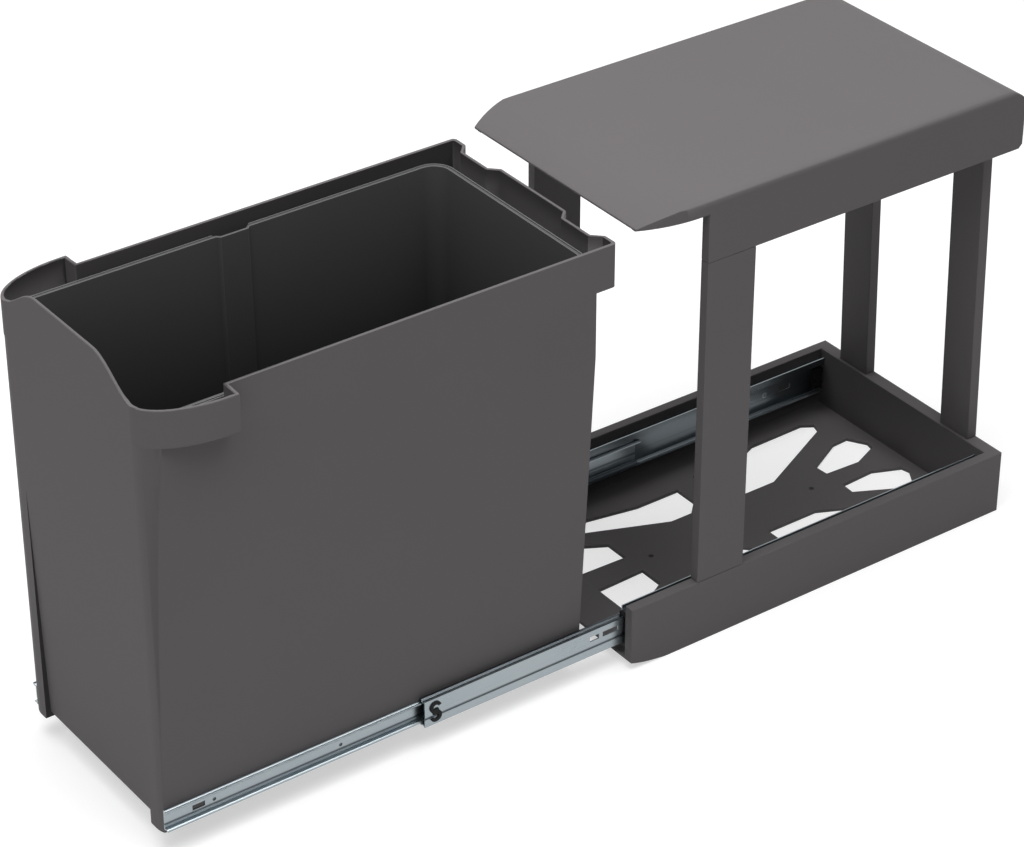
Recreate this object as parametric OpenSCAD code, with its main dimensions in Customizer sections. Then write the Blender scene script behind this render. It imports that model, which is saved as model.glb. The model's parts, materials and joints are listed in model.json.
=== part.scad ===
// Pull-out bin frame for a kitchen cabinet: a base with ball-bearing telescopic slides, a lid
// carried by four posts, and a bin with a lift-out bucket that rolls out to the front.
// Frame: origin at the centre of the base footprint on its underside, +X to the right seen from
// the front, +Y to the back, +Z up. The bin is drawn rolled out to its front stop.
// All sizes are in millimetres.

/* [Base] */
// Outside width of the base
base_w = 256; // [244:1:280]
// Outside length of the base
base_l = 440; // [430:1:480]
// Height of the base walls
base_h = 65; // [60:0.5:80]
// Thickness of the base side walls
side_wall_t = 10; // [9:0.5:14]
// Thickness of the base rear wall
rear_wall_t = 14; // [13:0.5:18]
// Thickness of the base floor
floor_t = 3.5; // [3:0.5:6]
// Length of the flat strip across the open front
strip_l = 43; // [36:1:50]
// Height of the front strip's top face
strip_h = 11; // [9.5:0.5:11.5]
// Height that the underside curves up by at the front end
front_rise = 7.5; // [5:0.5:8]
// Length over which the underside curves up
rise_run = 45; // [36:1:60]
// Distance between the two floor screw holes
floor_screw_pitch = 195; // [180:1:200]
// Diameter of the floor screw holes
floor_screw_d = 5; // [4:0.1:6]
// Skin left around the pockets in the underside of the walls
pocket_skin = 2.5; // [2:0.25:3]
// Number of pockets along each side wall
pocket_n = 4; // [3:1:5]
// Thickness of the ribs between the pockets
pocket_rib = 12; // [10:0.5:16]

/* [Posts] */
// Distance from the front end of the base to the front posts
front_post_back = 73; // [68:0.5:90]
// Width of the front posts along the base
front_post_w = 52; // [48:0.5:60]
// Width of the rear posts
rear_post_w = 39; // [36:0.5:41]
// Distance from the side of the base to the outer edge of a rear post
rear_post_in = 35.5; // [35:0.5:38]
// Thickness of the rear posts
rear_post_t = 11; // [10.5:0.25:12]
// Distance from the rear face of the base to the rear posts
rear_post_back = 0.5; // [0.25:0.25:1]
// Thickness of the tongues at both ends of a post
tongue_t = 4.2; // [3.6:0.1:4.6]
// Length of a tongue
tongue_l = 25; // [22:0.5:30]
// Distance from the edges of a post to its tongue
tongue_in = 3.5; // [3:0.25:5]
// Thickness of the socket walls in the lid
socket_t = 2.5; // [2:0.1:3]
// Clearance around a tongue in its socket
socket_gap = 0.15; // [0.1:0.05:0.3]

/* [Lid] */
// Height of the flat lid top above the floor
lid_top = 451; // [446:0.5:470]
// Height of the lid skirt
skirt_h = 60.5; // [55:0.5:70]
// Thickness of the lid shell
lid_t = 3; // [2.5:0.25:4]
// Drop of the lid top at its rear edge
lid_rear_drop = 12; // [8:0.5:13]
// Length over which the lid top droops at the rear
lid_rear_run = 26; // [22:1:40]
// Radius of the long top edges of the lid
lid_edge_r = 6; // [4:0.5:7]
// Distance that the rear posts lean forward by, from the base to the rear face of the lid
lid_rear_in = 9.5; // [8:0.5:10.5]
// Length of the drooping nose at the front
nose_run = 61; // [50:1:70]
// Drop of the nose tip below the flat top
nose_drop = 12; // [9:0.5:13]
// Narrowing of the nose on each side at its tip
nose_narrow = 13.5; // [8:0.5:20]
// Thickness of the nose tip
nose_edge = 2; // [1.5:0.25:3]
// Distance from the front end of the base to the nose tip
nose_back = 5; // [3:0.5:10]
// Height of the small tabs under the nose corners
nose_tab_h = 2; // [1:0.25:2.25]

/* [Slides] */
// Height of a slide centre above the floor
slide_z = 37; // [36:0.5:38]
// Height of the cabinet rail
slide_h = 35; // [34:0.5:36]
// Overall thickness of a slide, from base wall to bin
slide_t = 12.7; // [12.6:0.05:13]
// Sheet thickness of the rails
gauge = 1.2; // [1.1:0.05:1.25]
// Bend radius at the cabinet rail corners, outside
rail_bend = 2; // [1.6:0.1:2.4]
// Height of the upturned lip on top of the cabinet rail
rail_lip_h = 7; // [6:0.25:8]
// Diameter of the balls between cabinet rail and middle rail
outer_ball_d = 3.6; // [3.5:0.05:3.7]
// Diameter of the balls between middle rail and drawer rail
inner_ball_d = 3.2; // [3.1:0.05:3.3]
// Distance from the base wall to the outer ball centres
outer_ball_u = 6.2; // [6.1:0.05:6.3]
// Distance from the outer to the inner ball centres across the slide
ball_step_u = 3.3; // [3.2:0.05:3.35]
// Clearance between a ball and its raceway
ball_gap = 0.1; // [0.05:0.01:0.12]
// Distance from the base wall to the middle rail web
mid_u = 2.8; // [2.7:0.05:2.9]
// Distance from the front end of the base to the cabinet rails
rail_back = 3; // [2:0.5:5]
// Distance from the rear end of the cabinet rails to the rear wall
rail_end_gap = 3; // [1:0.5:6]
// Distance from the front of the bin to the drawer rails
drawer_front_gap = 2; // [1:0.5:4]
// Distance from the rear of the bin foot to the rear end of the drawer rails
drawer_rear_gap = 4; // [2:0.5:8]
// Set-back of the middle rails in the cabinet rails when the bin is closed
mid_back = 3; // [2:0.5:5]
// Free play before the middle rails meet the rear stops
stop_clear = 2; // [1:0.5:4]
// Travel of the bin
travel = 438; // [425:1:438]
// Number of outer balls in a row
outer_ball_n = 8; // [6:1:10]
// Number of inner balls in a row
inner_ball_n = 7; // [5:1:9]
// Distance from the front end of the cabinet rails to the outer ball cages
cage_mouth_gap = 6; // [4:0.5:20]
// Distance from the front stops to the inner ball cages
cage_stop_gap = 4; // [3:0.5:20]
// Sheet thickness of the ball cages
cage_t = 0.7; // [0.6:0.05:0.75]
// Clearance of a ball in its cage pocket
cage_gap = 0.15; // [0.1:0.05:0.25]
// Length of the joining plates at the ends of a cage
cage_end_l = 9; // [7:0.5:12]
// Length of the plastic rear stops
rear_stop_l = 10; // [8:0.5:11]
// Outer radius of the two bows of a front stop
stop_r = 6; // [5:0.25:6.5]

/* [Screws] */
// Diameter of the screw shanks
screw_d = 3.4; // [3:0.1:3.6]
// Diameter of the screw heads
screw_head_d = 6.4; // [6:0.1:6.6]
// Thickness of the pan heads
screw_head_h = 1.6; // [1.2:0.1:1.8]
// Depth of the countersunk heads
csk_h = 1.5; // [1.4:0.05:1.7]
// Clearance of a screw in its hole
screw_gap = 0.05; // [0.03:0.01:0.1]

/* [Bin] */
// Wall thickness of the bin
bin_t = 3; // [2.5:0.25:3.5]
// Height of the bin rim above the floor
rim_z = 433.5; // [430:0.5:433.5]
// Height of the bin's lowest edge above the floor
bin_low_z = 23; // [20:0.5:24]
// Height of the underside of the bin floor
bin_floor_z = 28; // [27:0.5:29]
// Height of the upright band that carries the drawer rails
band_z = 52; // [50:0.5:54]
// Gap between the bin side and the front posts
rim_gap = 2; // [1.5:0.25:4]
// Distance that the closed bin stands out in front of the base
bin_proud = 30.5; // [29:0.5:36]
// Lower edge of the rear collar
rear_collar_z = 393; // [388:0.5:398]
// Depth of the rear collar behind the rear wall
rear_collar_d = 17.5; // [15:0.25:20]
// Gap between the closed rear collar and the rear posts
rear_gap = 3; // [2:0.5:6]
// Lean of the bin rear wall, from collar to foot
rear_lean = 8.4; // [4:0.2:12]
// Depth of the recesses in the rear collar
recess_d = 8.5; // [6:0.5:10]
// Half width from the centre to the inner mouth of a recess
recess_in = 46; // [42:0.5:50]
// Half width from the centre to the outer mouth of a recess
recess_out = 99; // [95:0.5:102]
// Lower edge of the front collar
front_collar_z = 399; // [394:0.5:404]
// Length of the front collar
front_collar_l = 78; // [70:1:90]
// Step from the bin side out to the front collar
collar_step = 17.3; // [14:0.1:18]
// Width of the front collar's curved corners
corner_a = 36; // [30:1:42]
// Height of the hump in the middle of the front rim
hump_h = 25.7; // [20:0.1:32]
// Half width of the flat top of the hump
hump_flat = 44; // [36:1:52]
// Half width of the hump
hump_hw = 104; // [95:1:106]
// Width of the legs under the corners of the bin
leg_w = 18; // [15:0.5:22]
// Set-back of the foot of the front wall between the legs
toe_in = 5; // [3:0.25:6]
// Height at which the front wall is flush with the legs
toe_z = 260; // [200:5:300]

/* [Bucket] */
// Wall thickness of the bucket
bucket_t = 2.2; // [2:0.1:2.6]
// Height of the bucket rim above the floor
bucket_rim_z = 421; // [416:0.5:422]
// Height of the bucket's rolled rim
bucket_lip_h = 6; // [5:0.5:8]
// Width of the bucket's rolled rim
bucket_lip_w = 3; // [2.5:0.25:3.2]
// Gap between the bucket lip and the bin side
bucket_gap = 1.7; // [1.2:0.1:2.5]
// Gap between the bucket and the bin front at the rim
bucket_front_gap = 4; // [3:0.5:8]
// Narrowing of the bucket on each side from rim to floor
bucket_draft = 9; // [8.5:0.25:12]
// Clearance under the bucket floor
bucket_seat = 0.1; // [0.05:0.05:0.3]
// Depth of the upright ribs pressed into the bucket sides
bucket_rib_d = 5; // [3:0.25:7]
// Width of these ribs
bucket_rib_w = 37; // [30:1:44]

/* [Hidden] */
eps = 0.02;
over = 1;
half_w = base_w / 2;
half_l = base_l / 2;
wall_in = half_w - side_wall_t;
rear_in = half_l - rear_wall_t;
strip_y = -half_l + strip_l;
rise_r = (rise_run * rise_run + front_rise * front_rise) / (2 * front_rise);

// Corner points of the floor cut-outs right of the centre, in x and y
side_front_cut = [[35, -22], [35, -46], [68, -126], [84, -110], [74, -56], [74, -8], [49, -8]];
side_rear_cut = [[31, 18], [31, 76], [77, 171], [87, 174], [94, 163], [93, 100], [86, 84], [84, 18]];
front_cut = [[15, strip_y], [13, -118], [39, -118], [52, -141], [54, strip_y]];
rear_cut = [[12, 127], [27, 126], [48, 166], [49, 184], [31, 195], [22, 193], [10, 165]];

// Posts
post_y = -half_l + front_post_back;
post_y1 = post_y + front_post_w;
rear_post_x1 = half_w - rear_post_in;
rear_post_x0 = rear_post_x1 - rear_post_w;
tongue_x = wall_in + socket_t + socket_gap;
rear_post_y = half_l - rear_post_back - rear_post_t;
tongue_y = rear_post_y + (rear_post_t - tongue_t) / 2;
skirt_z = lid_top - skirt_h;
nose_y = -half_l + nose_back;
nose_y1 = nose_y + nose_run;
nose_z = lid_top - nose_drop - nose_edge;
lid_rear = half_l - lid_rear_in;
lid_rear_r = (lid_rear_run * lid_rear_run + lid_rear_drop * lid_rear_drop) / (2 * lid_rear_drop);
nose_r = (nose_run * nose_run + nose_drop * nose_drop) / (2 * nose_drop);
narrow_r = (nose_run * nose_run + nose_narrow * nose_narrow) / (2 * nose_narrow);
seam = 0.3;
nose_tab_w = 4;
nose_tab_l = 3;
nose_tab_in = 5;
nose_tab_back = 3.2;
nose_tab_x = half_w - nose_narrow - nose_tab_in;

// Slides: u is the distance from the base wall towards the bin, v the height above the slide centre
outer_r = outer_ball_d / 2 + ball_gap;
inner_r = inner_ball_d / 2 + ball_gap;
outer_ball_v = slide_h / 2 - outer_r - gauge;
inner_ball_u = outer_ball_u + ball_step_u;
band_step = outer_r + inner_r + gauge;
inner_ball_v = outer_ball_v - sqrt(band_step * band_step - ball_step_u * ball_step_u);
bend_angle = acos(ball_step_u / band_step);
lip_angle = 20;
arc_lap = 1;
web_lap = 1;
mid_web_v = outer_ball_v - web_lap;
drawer_u = slide_t - gauge;
drawer_web_v = inner_ball_v - web_lap;
cabinet_y0 = -half_l + rail_back;
cabinet_y1 = rear_in - rail_end_gap;
rear_stop_y = cabinet_y1 - gauge - rear_stop_l;
mid_y0 = cabinet_y0 + mid_back - travel / 2;
mid_y1 = rear_stop_y - stop_clear - travel / 2;
cage_back = 6;
cage_off = 1.3;
outer_strip_w = 2.6;
inner_strip_w = 1.8;
outer_cage_y1 = mid_y1 - cage_back;
outer_cage_y0 = cabinet_y0 + cage_mouth_gap;
outer_plate_u = gauge + (mid_u - gauge - cage_t) / 2;
inner_plate_u = mid_u + gauge + cage_off;
outer_strip_u = outer_ball_u + outer_strip_w;
inner_strip_u = inner_ball_u + inner_strip_w;
slot_l = 14;
slot_h = 5;
rail_slot_in = 18;
// Slots of the middle rail near the mouth of the base: distance in front of the base, and length
mid_slots = [[36.5, 10], [22.5, 17]];
mid_slot_v = 5;
bead_v = -4.4;
bead_w = 1.8;
bead_d = 0.6;
lip_u = outer_ball_u + outer_r;
lip_v = outer_ball_v + (outer_r + gauge) * sin(lip_angle) + ball_gap;
guide_u = 9;
guide_back = 0.5;
guide_gap = 0.5;
guide_v = outer_ball_v - (outer_r + gauge) * sin(lip_angle) + guide_gap;
tab_u = 8;
tab_v = 4;
buffer_v = 11;
buffer_proud = 0.4;
buffer_notch = 3.5;
window_in = 8;
window_y = mid_y0 + window_in;
window_l = 6;
window_h = 6;
stop_wide = 5.2;
stop_hole_r = 2.8;
stop_open = [20, 250];
stop_plate = 1.1;
stop_lap = 2;

// Wall pockets and the rail screws that sit in the ribs between them
pocket_y0 = post_y1 + pocket_rib;
pocket_end = 4;
pocket_y1 = rear_in - pocket_end;
pocket_step = (pocket_y1 - pocket_y0 + pocket_rib) / pocket_n;
pocket_l = pocket_step - pocket_rib;
rib_mid = floor(pocket_n / 2);
cabinet_screw_in = 32;
cabinet_screw_y = [
    -half_l + cabinet_screw_in,
    pocket_y0 + rib_mid * pocket_step - pocket_rib / 2,
    pocket_y0 + (pocket_n - 1) * pocket_step - pocket_rib / 2
];
cabinet_screw_l = 7.5;
head_r = screw_head_d / 2;
head_taper = 0.82;
shank_r = screw_d / 2;
hole_r = shank_r + screw_gap;
post_screw_down = 4.6;
lid_screw_up = 14;
screw_short = 0.4;
post_screw_z = base_h - post_screw_down;
lid_screw_z = skirt_z + lid_screw_up;
post_screw_l = socket_t + 2 * socket_gap + tongue_t - screw_short;
front_screw_y = (post_y + post_y1) / 2;
rear_screw_l = half_l - tongue_y - screw_short;
rear_screw_x = (rear_post_x0 + rear_post_x1) / 2;

// Bin
low_hw = wall_in - slide_t;
rim_hw = wall_in - rim_gap;
bin_y0 = -half_l - bin_proud - travel;
collar_y1 = rear_in - rear_gap - travel;
rear_y = collar_y1 - rear_collar_d;
foot_y = rear_y - rear_lean;
drawer_y0 = bin_y0 + drawer_front_gap;
drawer_y1 = foot_y - drawer_rear_gap;
inner_cage_y1 = drawer_y1 - cage_back;
inner_cage_y0 = window_y + window_l + stop_lap + cage_stop_gap;
loft_z = rear_collar_z;
front_hw = rim_hw + collar_step;
corner_b = front_collar_l - 2 * bin_t;
jog_y = bin_y0 + front_collar_l;
top_corner_r = 20;
rear_corner_r = 6;
collar_corner_r = 4;
collar_root_r = 1;
hump_root = 0.4;
hump_foot = 2;
bin_inner_z = bin_floor_z + bin_t;
front_inner = bin_y0 + bin_t;
side_slope = (rim_hw - low_hw) / (loft_z - band_z);
rear_slope = rear_lean / (loft_z - band_z);
toe_slope = toe_in / (toe_z - bin_floor_z);
drawer_screw_in = [50, 175];
drawer_screw_end = 40;
drawer_screw_short = 0.8;
drawer_slot_in = 29;
drawer_slot_l = 12;
drawer_screw_y = [bin_y0 + drawer_screw_in[0], bin_y0 + drawer_screw_in[1], drawer_y1 - drawer_screw_end];
drawer_screw_l = gauge + bin_t - drawer_screw_short;
drawer_slot_y = bin_y0 + drawer_slot_in;

// Bucket
bucket_z = bin_inner_z + bucket_seat;
bucket_lip_hw = rim_hw - bin_t - bucket_gap;
bucket_hw = bucket_lip_hw - bucket_lip_w;
bucket_y0 = front_inner + bucket_front_gap;
bucket_top_y1 = rear_y - bin_t - bucket_gap;
bucket_y1 = bucket_top_y1 + bucket_lip_w;
bucket_lip_z = bucket_rim_z - bucket_lip_h;
bucket_r = 18;
bucket_rib_y = (bucket_y0 + bucket_y1) / 2;
bucket_slope = bucket_draft / (bucket_lip_z - bucket_z);
bucket_lean = atan(bucket_slope);
rim_groove = 1.2;
rib_reach = 20;

plastic = [0.31, 0.3, 0.305];
dark_plastic = [0.2, 0.2, 0.205];
black = [0.06, 0.06, 0.065];
zinc = [0.76, 0.79, 0.81];
ball_steel = [0.85, 0.86, 0.88];
$fn = 64;

// Mirrors what is drawn for the left side to the right side when side is 1
module on_side(side) {
    mirror([side > 0 ? 1 : 0, 0, 0]) children();
}

// A flat outline with its own corner radii at the front and at the rear
module rounded_plan(hw, y0, y1, front_r, rear_r) {
    translate([-hw, y0 + front_r]) square([2 * hw, y1 - y0 - front_r - rear_r]);
    translate([-hw + front_r, y0]) square([2 * (hw - front_r), front_r + eps]);
    translate([-hw + rear_r, y1 - rear_r - eps]) square([2 * (hw - rear_r), rear_r + eps]);
    for (s = [-1, 1]) {
        translate([s * (hw - front_r), y0 + front_r]) circle(r = front_r);
        translate([s * (hw - rear_r), y1 - rear_r]) circle(r = rear_r);
    }
}

// A part of a ring between two angles
module arc_band(r0, r1, a0, a1) {
    reach = 2 * r1;
    mid = (a0 + a1) / 2;
    intersection() {
        difference() {
            circle(r = r1);
            circle(r = r0);
        }
        polygon([
            [0, 0],
            [reach * cos(a0), reach * sin(a0)],
            [reach * cos(mid), reach * sin(mid)],
            [reach * cos(a1), reach * sin(a1)]
        ]);
    }
}

// Runs a slide profile, drawn in u and v, along the left base wall from y0 to y1
module along_wall(y0, y1) {
    translate([-wall_in, y1, slide_z]) rotate([90, 0, 0]) linear_extrude(height = y1 - y0) children();
}

// A box in slide coordinates on the left base wall
module slide_box(u0, u1, y0, y1, v0, v1) {
    translate([-wall_in + u0, y0, slide_z + v0]) cube([u1 - u0, y1 - y0, v1 - v0]);
}

// Room for a slot of length l in a rail of the left slide, from y on, at height v
module slide_slot(u0, u1, y, l, v) {
    slide_box(u0, u1, y, y + l, v - slot_h / 2, v + slot_h / 2);
}

// A round bar across the left slide, from u0 to u1
module slide_bar(u0, u1, y, v, r0, r1) {
    translate([-wall_in + u0, y, slide_z + v]) rotate([0, 90, 0]) cylinder(h = u1 - u0, r1 = r0, r2 = r1);
}

// Outline of the cabinet rail, with an upturned lip at the top
module cabinet_profile() {
    top = slide_h / 2;
    translate([lip_u, lip_v]) square([gauge, rail_lip_h]);
    translate([0, -top + rail_bend]) square([gauge, slide_h - 2 * rail_bend]);
    for (m = [0, 1]) mirror([0, m]) {
        translate([rail_bend, top - rail_bend])
            arc_band(rail_bend - gauge, rail_bend, 90 - arc_lap, 180 + arc_lap);
        translate([rail_bend, top - gauge]) square([outer_ball_u - rail_bend, gauge]);
        translate([outer_ball_u, outer_ball_v])
            arc_band(outer_r, outer_r + gauge, lip_angle, 180 - lip_angle);
    }
}

// A rail web with a groove rolled into the side that faces the base wall
module grooved_web(u, half_h) {
    difference() {
        translate([u, -half_h]) square([gauge, 2 * half_h]);
        translate([u - over, bead_v - bead_w / 2]) square([bead_d + over, bead_w]);
    }
}

// Outline of the middle rail: an S-shaped flange joins the two raceways
module mid_profile() {
    grooved_web(mid_u, mid_web_v);
    for (m = [0, 1]) mirror([0, m]) {
        translate([outer_ball_u, outer_ball_v])
            arc_band(outer_r, outer_r + gauge, 180 + lip_angle, 360 + arc_lap - bend_angle);
        translate([inner_ball_u, inner_ball_v])
            arc_band(inner_r, inner_r + gauge, lip_angle, 180 + arc_lap - bend_angle);
    }
}

// Outline of the drawer rail
module drawer_profile() {
    grooved_web(drawer_u, drawer_web_v);
    for (m = [0, 1]) mirror([0, m])
        translate([inner_ball_u, inner_ball_v])
            arc_band(inner_r, inner_r + gauge, 180 + lip_angle, 360 - lip_angle);
}

// Screw with a pan head: the head stands in front of the plane u = 0, the shank runs along +X
module pan_screw(shank) {
    rotate([0, 90, 0]) cylinder(h = shank, r = shank_r, $fn = 32);
    translate([-screw_head_h, 0, 0]) rotate([0, 90, 0])
        cylinder(h = screw_head_h, r1 = head_r * head_taper, r2 = head_r, $fn = 32);
}

// Countersunk screw whose head is level with the plane u = 0
module csk_screw(shank) {
    rotate([0, 90, 0]) cylinder(h = shank, r = shank_r, $fn = 32);
    rotate([0, 90, 0]) cylinder(h = csk_h, r1 = head_r, r2 = shank_r, $fn = 32);
}

// Room for a countersunk screw
module csk_room(shank) {
    translate([-over, 0, 0]) rotate([0, 90, 0]) cylinder(h = shank + over, r = hole_r, $fn = 32);
    translate([-eps, 0, 0]) rotate([0, 90, 0])
        cylinder(h = csk_h + eps, r1 = head_r + screw_gap, r2 = hole_r, $fn = 32);
}

// Places its children at the upper screw of the left front post, pointing into the tongue
module at_lid_front_screw() {
    translate([-wall_in, front_screw_y, lid_screw_z]) rotate([0, 0, 180]) children();
}

// Places its children at the lower screw of the left front post
module at_base_front_screw() {
    translate([-wall_in, front_screw_y, post_screw_z]) rotate([0, 0, 180]) children();
}

// Places its children at the lower screw of the left rear post, driven in from behind
module at_base_rear_screw() {
    translate([-rear_screw_x, half_l, post_screw_z]) rotate([0, 0, -90]) children();
}

// Places its children at the upper screw of the left rear post
module at_lid_rear_screw() {
    translate([-rear_screw_x, lid_rear, lid_screw_z]) rotate([0, 0, -90]) children();
}

// Cut-outs in the right half of the base floor
module floor_cuts() {
    polygon(side_front_cut);
    polygon(side_rear_cut);
    polygon(front_cut);
    polygon(rear_cut);
}

// Floor, walls and front strip of the base before any holes
module base_block() {
    translate([-half_w, strip_y, 0]) cube([base_w, base_l - strip_l, floor_t]);
    translate([-half_w, -half_l, 0]) cube([base_w, strip_l, strip_h]);
    for (s = [-1, 1])
        translate([s < 0 ? -half_w : wall_in, -half_l, 0]) cube([side_wall_t, base_l, base_h]);
    translate([-half_w, rear_in, 0]) cube([base_w, rear_wall_t, base_h]);
}

// Pockets in the underside of the walls
module wall_pockets() {
    depth = base_h - tongue_l - 2 * pocket_skin;
    mid_z = depth / 2 - over;
    for (s = [-1, 1]) for (i = [0 : pocket_n - 1])
        translate([s * (half_w - side_wall_t / 2), pocket_y0 + i * pocket_step + pocket_l / 2, mid_z])
            cube([side_wall_t - 2 * pocket_skin, pocket_l, depth + 2 * over], center = true);
    for (i = [-1, 0, 1])
        translate([i * (rear_post_x0 + rear_post_x1) / 2, half_l - rear_wall_t / 2, mid_z])
            cube([rear_post_w, rear_wall_t - 2 * pocket_skin, depth + 2 * over], center = true);
}

// Room for the tongue of a left front post, from height z up
module front_socket(z) {
    translate([-tongue_x - tongue_t - socket_gap, post_y + tongue_in - socket_gap, z])
        cube([
            tongue_t + 2 * socket_gap,
            front_post_w - 2 * tongue_in + 2 * socket_gap,
            tongue_l + over
        ]);
}

// Room for the tongue of a left rear post whose front face is at y, from height z up
module rear_socket(y, z) {
    translate([-rear_post_x1 + tongue_in - socket_gap, y - socket_gap, z])
        cube([
            rear_post_w - 2 * tongue_in + 2 * socket_gap,
            tongue_t + 2 * socket_gap,
            tongue_l + over
        ]);
}

// Base: floor with cut-outs, side walls and rear wall in one moulding
module base_frame() {
    color(plastic) difference() {
        base_block();
        translate([0, 0, -over]) linear_extrude(height = floor_t + 2 * over) {
            floor_cuts();
            mirror([1, 0]) floor_cuts();
        }
        for (s = [-1, 1])
            translate([0, s * floor_screw_pitch / 2, -over])
                cylinder(h = floor_t + 2 * over, d = floor_screw_d);
        difference() {
            translate([-half_w - over, -half_l - over, -over])
                cube([base_w + 2 * over, rise_run + over, front_rise + 2 * over]);
            translate([-half_w - 2 * over, -half_l + rise_run, rise_r]) rotate([0, 90, 0])
                cylinder(h = base_w + 4 * over, r = rise_r, $fn = 180);
        }
        wall_pockets();
        for (s = [-1, 1]) on_side(s) {
            front_socket(base_h - tongue_l);
            rear_socket(tongue_y, base_h - tongue_l);
            at_base_front_screw() translate([-over, 0, 0]) rotate([0, 90, 0])
                cylinder(h = post_screw_l + over, r = hole_r, $fn = 32);
            at_base_rear_screw() csk_room(rear_screw_l);
            for (y = cabinet_screw_y)
                translate([-wall_in + gauge, y, slide_z]) rotate([0, 0, 180])
                    csk_room(gauge + cabinet_screw_l);
        }
    }
}

// Left front post with a tongue at each end
module front_post() {
    tongue_w = front_post_w - 2 * tongue_in;
    color(plastic) difference() {
        union() {
            translate([-half_w, post_y, base_h]) cube([side_wall_t, front_post_w, skirt_z - base_h]);
            translate([-tongue_x - tongue_t, post_y + tongue_in, base_h - tongue_l + seam])
                cube([tongue_t, tongue_w, skirt_z - base_h + 2 * (tongue_l - seam)]);
        }
        at_base_front_screw() rotate([0, 90, 0]) cylinder(h = post_screw_l, r = hole_r, $fn = 32);
        at_lid_front_screw() rotate([0, 90, 0]) cylinder(h = post_screw_l, r = hole_r, $fn = 32);
    }
}

module front_left_post() {
    on_side(-1) front_post();
}

module front_right_post() {
    on_side(1) front_post();
}

// Left rear post: it leans forward and has a tongue at each end
module rear_post() {
    tongue = [rear_post_w - 2 * tongue_in, tongue_t, tongue_l - seam + over];
    color(plastic) difference() {
        union() {
            translate([-rear_post_x1, 0, 0]) rotate([90, 0, 90]) linear_extrude(height = rear_post_w)
                polygon([
                    [rear_post_y, base_h], [rear_post_y + rear_post_t, base_h],
                    [rear_post_y + rear_post_t - lid_rear_in, skirt_z], [rear_post_y - lid_rear_in, skirt_z]
                ]);
            translate([-rear_post_x1 + tongue_in, tongue_y, base_h - tongue_l + seam]) cube(tongue);
            translate([-rear_post_x1 + tongue_in, tongue_y - lid_rear_in, skirt_z - over]) cube(tongue);
        }
        at_base_rear_screw() rotate([0, 90, 0]) cylinder(h = rear_screw_l, r = hole_r, $fn = 32);
        at_lid_rear_screw() rotate([0, 90, 0]) cylinder(h = rear_screw_l, r = hole_r, $fn = 32);
    }
}

module rear_left_post() {
    on_side(-1) rear_post();
}

module rear_right_post() {
    on_side(1) rear_post();
}

// Side outline of the lid, in y and z, brought in by t for the hollow underneath
module lid_side(t, z0) {
    translate([nose_y1, z0]) square([lid_rear - lid_rear_run - nose_y1, lid_top - t - z0]);
    intersection() {
        translate([nose_y1, lid_top - nose_r]) circle(r = nose_r - t, $fn = 240);
        translate([nose_y + t, z0]) square([nose_run - t + eps, lid_top - z0]);
    }
    intersection() {
        translate([lid_rear - lid_rear_run, lid_top - lid_rear_r]) circle(r = lid_rear_r - t, $fn = 240);
        translate([lid_rear - lid_rear_run - eps, z0]) square([lid_rear_run - t + eps, lid_top - z0]);
    }
}

// Plan of the lid, brought in by t: the nose narrows towards its tip
module lid_plan(t) {
    translate([-half_w + t, nose_y1]) square([base_w - 2 * t, lid_rear - nose_y1 - t]);
    intersection() {
        translate([-half_w, nose_y + t]) square([base_w, nose_run - t + eps]);
        translate([narrow_r - half_w, nose_y1]) circle(r = narrow_r - t, $fn = 240);
        translate([half_w - narrow_r, nose_y1]) circle(r = narrow_r - t, $fn = 240);
    }
}

// Body of the lid or of the hollow in it, brought in by t
module lid_body(t, z0) {
    intersection() {
        translate([-half_w, 0, 0]) rotate([90, 0, 90]) linear_extrude(height = base_w) lid_side(t, z0);
        translate([0, 0, z0]) linear_extrude(height = lid_top) lid_plan(t);
    }
}

// Room above a rounded long edge on the right of the lid
module lid_edge_room() {
    r = lid_edge_r;
    translate([half_w - r, lid_rear + over, lid_top - r]) rotate([90, 0, 0])
        linear_extrude(height = lid_rear - nose_y + 2 * over) difference() {
            square(r + over);
            circle(r = r);
        }
}

// Socket blocks in the lid for the left posts
module lid_sockets() {
    rear_y0 = rear_post_y - lid_rear_in;
    translate([-half_w + lid_t - eps, post_y, skirt_z])
        cube([side_wall_t - lid_t + eps, front_post_w, skirt_h - lid_t / 2]);
    translate([-rear_post_x1, rear_y0, skirt_z])
        cube([rear_post_w, lid_rear - lid_t + eps - rear_y0, skirt_h - lid_rear_drop - lid_t / 2]);
}

// Lid: a shell with a skirt, a drooping nose and a socket for each post
module lid() {
    color(plastic) difference() {
        union() {
            difference() {
                lid_body(0, skirt_z);
                lid_body(lid_t, skirt_z - over);
                translate([-half_w - over, nose_y - over, skirt_z - over])
                    cube([base_w + 2 * over, post_y - nose_y + over, nose_z - skirt_z + over]);
            }
            for (s = [-1, 1]) {
                on_side(s) lid_sockets();
                translate([s * nose_tab_x, nose_y + nose_tab_back, nose_z - nose_tab_h / 2 + eps])
                    cube([nose_tab_w, nose_tab_l, nose_tab_h + 2 * eps], center = true);
            }
        }
        for (s = [-1, 1]) on_side(s) {
            mirror([1, 0, 0]) lid_edge_room();
            front_socket(skirt_z - over);
            rear_socket(tongue_y - lid_rear_in, skirt_z - over);
            at_lid_front_screw() csk_room(post_screw_l);
            at_lid_rear_screw() csk_room(rear_screw_l);
        }
    }
}

// Screws that fix the posts to the base and to the lid
module post_screws() {
    color(zinc) for (s = [-1, 1]) on_side(s) {
        at_base_front_screw() pan_screw(post_screw_l);
        at_lid_front_screw() csk_screw(post_screw_l);
        at_base_rear_screw() csk_screw(rear_screw_l);
        at_lid_rear_screw() csk_screw(rear_screw_l);
    }
}

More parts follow.
